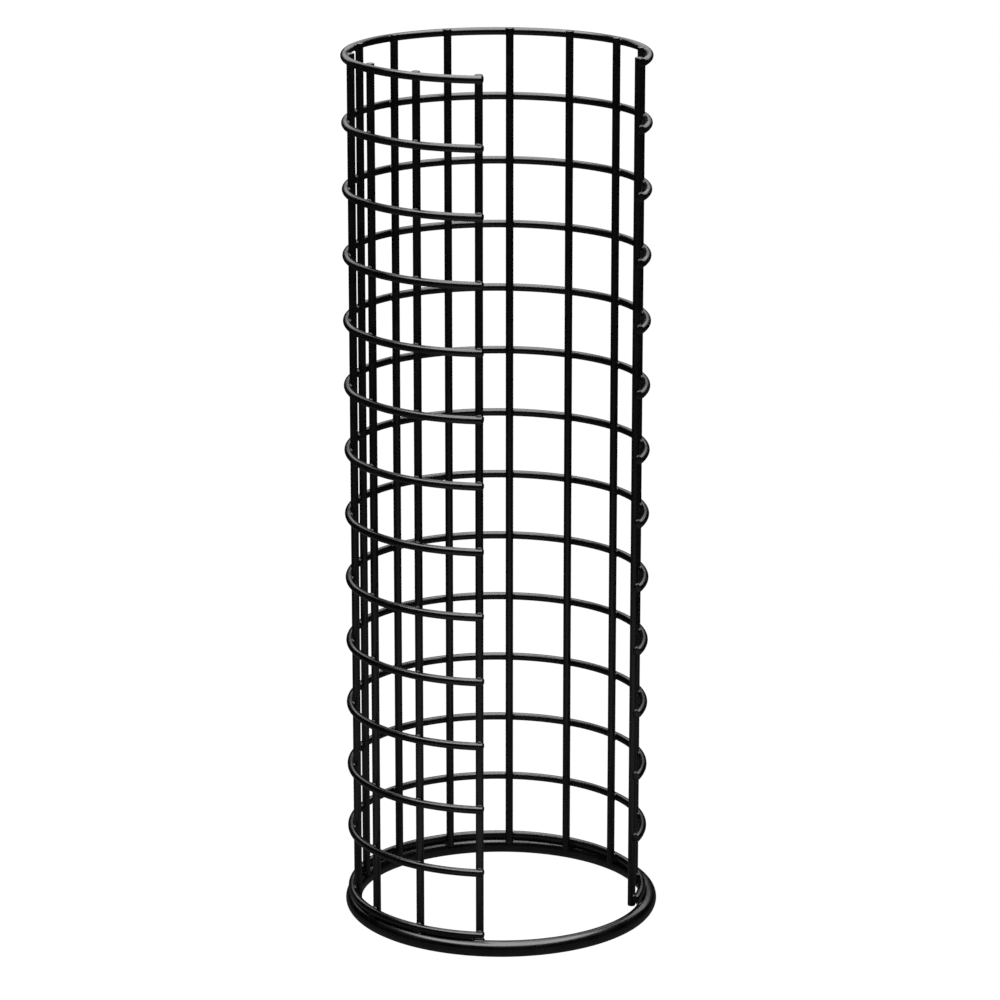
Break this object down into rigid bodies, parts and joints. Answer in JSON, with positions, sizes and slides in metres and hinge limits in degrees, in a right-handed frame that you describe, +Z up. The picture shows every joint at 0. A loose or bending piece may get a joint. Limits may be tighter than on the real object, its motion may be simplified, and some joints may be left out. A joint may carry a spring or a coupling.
{
  "type": "umbrella stand",
  "caption": "Tall cylindrical umbrella stand of welded square wire mesh, open down the front, on a heavier round base ring.",
  "frame": {"origin": "centre of the base ring, on the floor", "axes": "+Z up along the cage; the opening in the cage faces -Y; +X is to the right of someone who looks into the opening along +Y"},
  "size_m": [0.1932, 0.1932, 0.535],
  "materials": {
    "ring_coating": "satin black powder coat over a round steel bar, a soft grey highlight along its upper side",
    "hoop_coating": "satin black powder coat over round steel wire, with small weld fillets at each crossing",
    "upright_coating": "satin black powder coat over round steel wire"
  },
  "bodies": {
    "root": {"base_ring": "ring_coating", "hoop_wire_01": "hoop_coating", "hoop_wire_02": "hoop_coating", "hoop_wire_03": "hoop_coating", "hoop_wire_04": "hoop_coating", "hoop_wire_05": "hoop_coating", "hoop_wire_06": "hoop_coating", "hoop_wire_07": "hoop_coating", "hoop_wire_08": "hoop_coating", "hoop_wire_09": "hoop_coating", "hoop_wire_10": "hoop_coating", "hoop_wire_11": "hoop_coating", "hoop_wire_12": "hoop_coating", "hoop_wire_13": "hoop_coating", "hoop_wire_14": "hoop_coating", "upright_wire_01": "upright_coating", "upright_wire_02": "upright_coating", "upright_wire_03": "upright_coating", "upright_wire_04": "upright_coating", "upright_wire_05": "upright_coating", "upright_wire_06": "upright_coating", "upright_wire_07": "upright_coating", "upright_wire_08": "upright_coating", "upright_wire_09": "upright_coating", "upright_wire_10": "upright_coating", "upright_wire_11": "upright_coating", "upright_wire_12": "upright_coating"}
  },
  "joints": []
}
